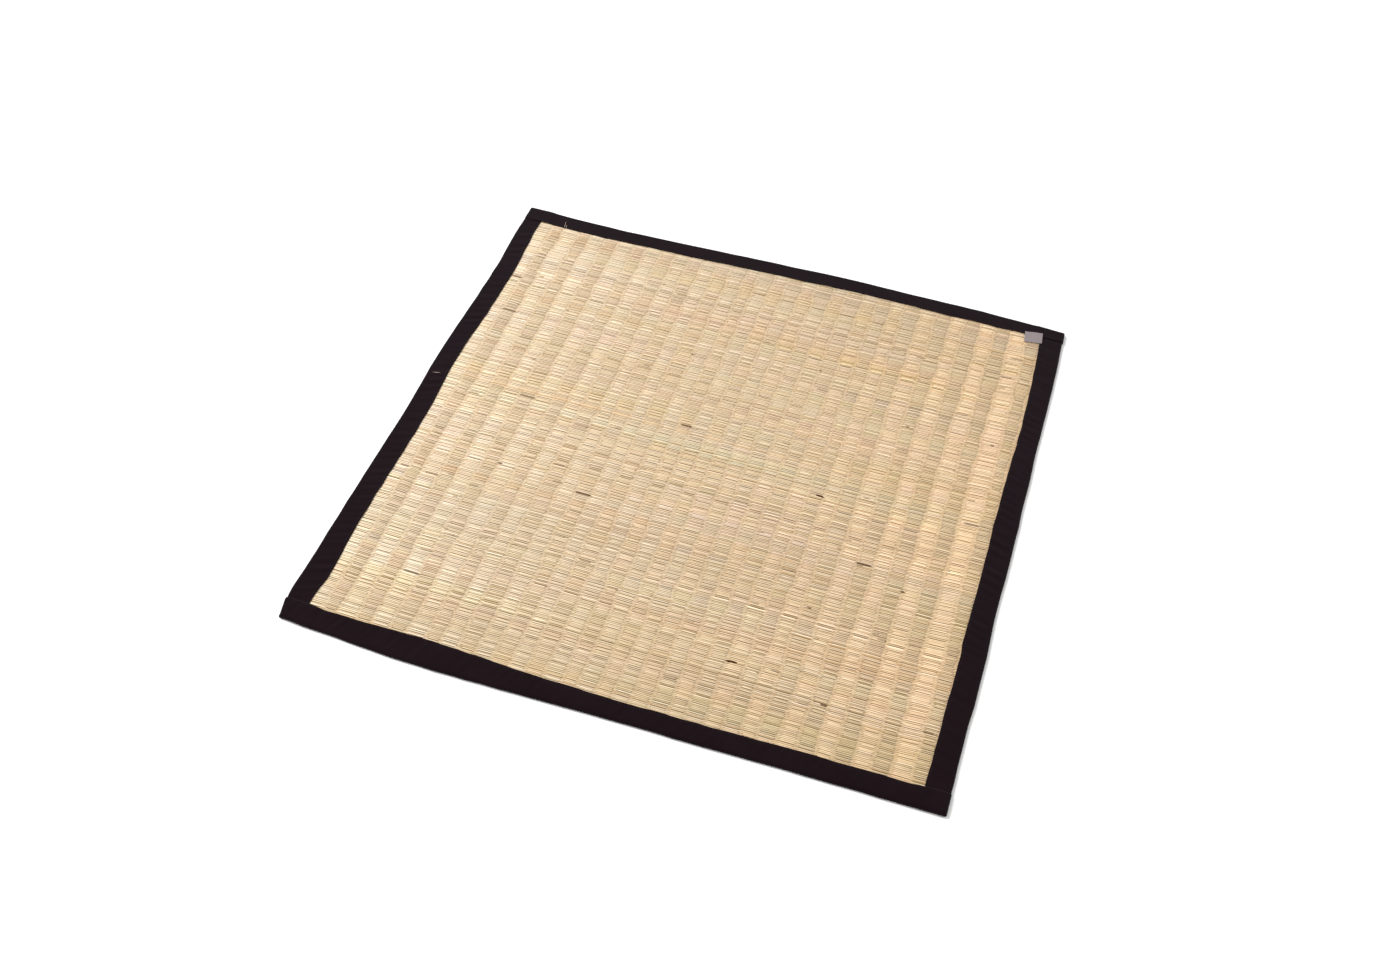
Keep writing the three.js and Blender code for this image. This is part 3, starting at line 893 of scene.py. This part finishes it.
def label(material):
    """The bare label, laid over the rush and the tape as its solid is."""
    tree = tree_of(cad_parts["label"])
    u, v = np.meshgrid(*(np.linspace(-0.5, 0.5, steps) for steps in LABEL_STEPS), indexing="ij")
    cosine, sine = math.cos(LABEL_TURN), math.sin(LABEL_TURN)
    turn = np.array([[cosine, -sine], [sine, cosine]])
    plan = np.stack([u * LABEL_SIZE[0], v * LABEL_SIZE[1]], -1)
    inside = LABEL_READ * plan @ turn.T + LABEL_PLACE
    heights = [height_on(tree, place) for place in inside.reshape(-1, 2)]
    z = np.array(heights).reshape(u.shape) - LABEL_THICKNESS
    wave = np.sin(LABEL_WAVE["half_turns"] * math.pi * (u + LABEL_WAVE["slant"] * v))
    z += LABEL_WAVE["height"] * wave * (0.5 + v)
    middle = np.concatenate([plan @ turn.T + LABEL_PLACE, z[..., None]], -1)
    from_rim = np.minimum(0.5 - np.abs(u), 0.5 - np.abs(v))
    fullness = smoothstep(from_rim, 0.0, LABEL_RIM["width"])
    half = LABEL_THICKNESS / 2 * (LABEL_RIM["least"] + (1 - LABEL_RIM["least"]) * fullness)
    return sheet_solid("corner_label", middle, half, material)


# The room

CAMERA_PLACE = Vector((0.4015, -1.4572, 1.7208))
CAMERA_AIM = Vector((0.0032, -0.0293, 0.0))
CAMERA_ROLL = math.radians(2.94)
IMAGE_WIDTH = 1400  # pixels
FOCAL_LENGTH = 1580  # in those pixels
SENSOR_WIDTH = 36.0
KEY_LIGHT = {"place": (-4.4, 0.3, 5.2), "size": 3.0, "power": 398}
SKY = {"Color": (1.0, 0.99, 0.98, 1), "Strength": 0.85}
FLOOR_TONE = (0.93, 0.93, 0.93, 1)
FLOOR_HALF = 20.0
FLOOR_DROP = 0.4 * MM


def aimed(place, aim):
    return Matrix.Translation(place) @ (aim - place).to_track_quat("-Z", "Y").to_matrix().to_4x4()


def camera():
    data = bpy.data.cameras.new("camera")
    data.sensor_fit = "HORIZONTAL"
    data.sensor_width = SENSOR_WIDTH
    data.lens = FOCAL_LENGTH / IMAGE_WIDTH * SENSOR_WIDTH
    eye = bpy.data.objects.new("camera", data)
    eye.matrix_world = aimed(CAMERA_PLACE, CAMERA_AIM) @ Matrix.Rotation(CAMERA_ROLL, 4, "Z")
    bpy.context.scene.collection.objects.link(eye)
    bpy.context.scene.camera = eye


def key_light():
    data = bpy.data.lights.new("key", "AREA")
    data.shape = "DISK"
    data.size = KEY_LIGHT["size"]
    data.energy = KEY_LIGHT["power"]
    lamp = bpy.data.objects.new("key", data)
    lamp.matrix_world = aimed(Vector(KEY_LIGHT["place"]), Vector((0, 0, 0)))
    bpy.context.scene.collection.objects.link(lamp)


def studio():
    scene = bpy.context.scene
    scene.view_settings.view_transform = "Standard"
    world = bpy.data.worlds.new("studio")
    world.use_nodes = True
    for socket, value in SKY.items():
        world.node_tree.nodes["Background"].inputs[socket].default_value = value
    scene.world = world
    key_light()
    floor_look = Look("floor", Base_Color=FLOOR_TONE, Roughness=0.9, Specular_IOR_Level=0.1)
    corners = FLOOR_HALF * np.array([(-1, -1, 0), (1, -1, 0), (1, 1, 0), (-1, 1, 0)]) - (0, 0, FLOOR_DROP)
    mesh_object("floor", corners, [np.array([[0, 1, 2, 3]])], floor_look.material)


def dress(piece, replaced=None):
    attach(piece, "root")
    if replaced:
        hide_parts(replaced)


def build():
    rush, cotton, thread = rush_look(), cotton_look(), thread_look()
    woven = straws(rush, husk_look())
    warps_and_shade = warp_and_shade_layer(warp_and_shade_look())
    dress(warps_and_shade, "rush_field")
    for piece in woven:
        dress(piece)
    cloths = []
    for side in EDGES:
        tape = Tape(side)
        cloth = tape.cloth(cotton)
        cloths.append(cloth)
        dress(cloth, "tape_" + side)
        seam = tape.stitches(thread)
        dress(seam)
    dress(fibres(rush, cloths))
    sewn_label = label(label_look())
    dress(sewn_label, "label")


camera()
studio()
build()
